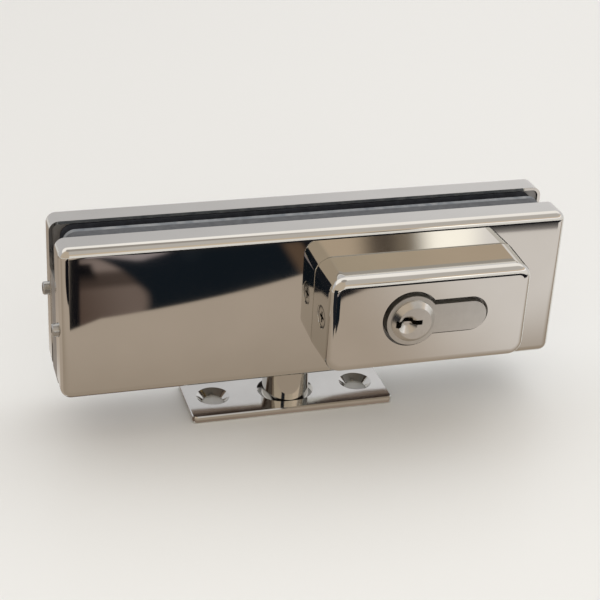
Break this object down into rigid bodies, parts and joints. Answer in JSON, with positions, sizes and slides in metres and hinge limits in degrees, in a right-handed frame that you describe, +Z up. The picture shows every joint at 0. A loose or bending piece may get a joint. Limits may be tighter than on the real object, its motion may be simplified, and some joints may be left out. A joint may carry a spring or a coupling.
{
  "type": "patch lock",
  "caption": "Patch lock for a frameless glass door: two covers clamp the glass, and a key cylinder drives a round bolt into a strike plate.",
  "frame": {"origin": "on the bolt's axis, in the plane of the strike plate's underside, midway between its two screw holes", "axes": "+X along the lock to the right seen from the key side, +Y into the door away from the key side, +Z up out of the strike plate"},
  "size_m": [0.166, 0.0501, 0.0672],
  "materials": {
    "polished_steel": "polished nickel-toned stainless",
    "satin_nickel": "satin nickel",
    "cast_body": "die-cast, as cast",
    "rubber_dark": "matte rubber",
    "packing_light": "matte foam rubber",
    "packing_grey": "matte foam rubber",
    "fastener_steel": "plain steel",
    "brass_part": "machined brass",
    "spring_steel": "spring wire"
  },
  "bodies": {
    "strike": {"strike_plate": "polished_steel"},
    "lock_body": {"bolt_guide": "brass_part", "front_cover": "polished_steel", "rear_cover": "polished_steel", "cylinder_housing": "polished_steel", "housing_screw": "fastener_steel", "cylinder_carrier": "cast_body", "carrier_screws": "fastener_steel", "front_clamp": "cast_body", "rear_clamp": "cast_body", "lock_case": "cast_body", "case_back_plate": "fastener_steel", "case_screws": "fastener_steel", "clamp_screws": "fastener_steel", "cover_set_screws": "fastener_steel", "front_gasket": "rubber_dark", "rear_gasket": "rubber_dark", "cylinder_body": "satin_nickel", "cylinder_screw": "fastener_steel", "driver_pins": "brass_part", "pin_springs": "spring_steel", "stack_caps": "brass_part", "gear_axle": "fastener_steel"},
    "plug": {"cylinder_plug": "satin_nickel", "key_pins": "brass_part", "cylinder_cam": "fastener_steel", "cam_clip": "spring_steel"},
    "reduction": {"reduction_gear": "fastener_steel"},
    "bolt": {"bolt": "polished_steel", "bolt_rack": "fastener_steel", "rack_screws": "fastener_steel"},
    "packing": {"packing_strip_front": "packing_grey", "packing_strip_rear": "packing_light"}
  },
  "joints": [
    {"name": "strike_lift", "type": "slide", "parent": "strike", "child": "lock_body", "axis": [0, 0, 1], "range_m": [0, 0.03]},
    {"name": "plug_turn", "type": "hinge", "parent": "lock_body", "child": "plug", "pos_m": [0.0302, -0.02, 0.0428], "axis": [0, -1, 0], "range_deg": [0, 360]},
    {"name": "reduction_turn", "type": "hinge", "parent": "lock_body", "child": "reduction", "pos_m": [0.01712, 0, 0.0378], "axis": [0, -1, 0], "range_deg": [-270, 0]},
    {"name": "bolt_throw", "type": "slide", "parent": "lock_body", "child": "bolt", "axis": [0, 0, 1], "range_m": [0, 0.01885]},
    {"name": "packing_lift", "type": "slide", "parent": "lock_body", "child": "packing", "axis": [0, 0, 1], "range_m": [0, 0.02]}
  ],
  "couplings": [
    {"joint": "plug_turn", "follows": "bolt_throw", "rad_per_m": 333.33},
    {"joint": "reduction_turn", "follows": "bolt_throw", "rad_per_m": -250}
  ]
}
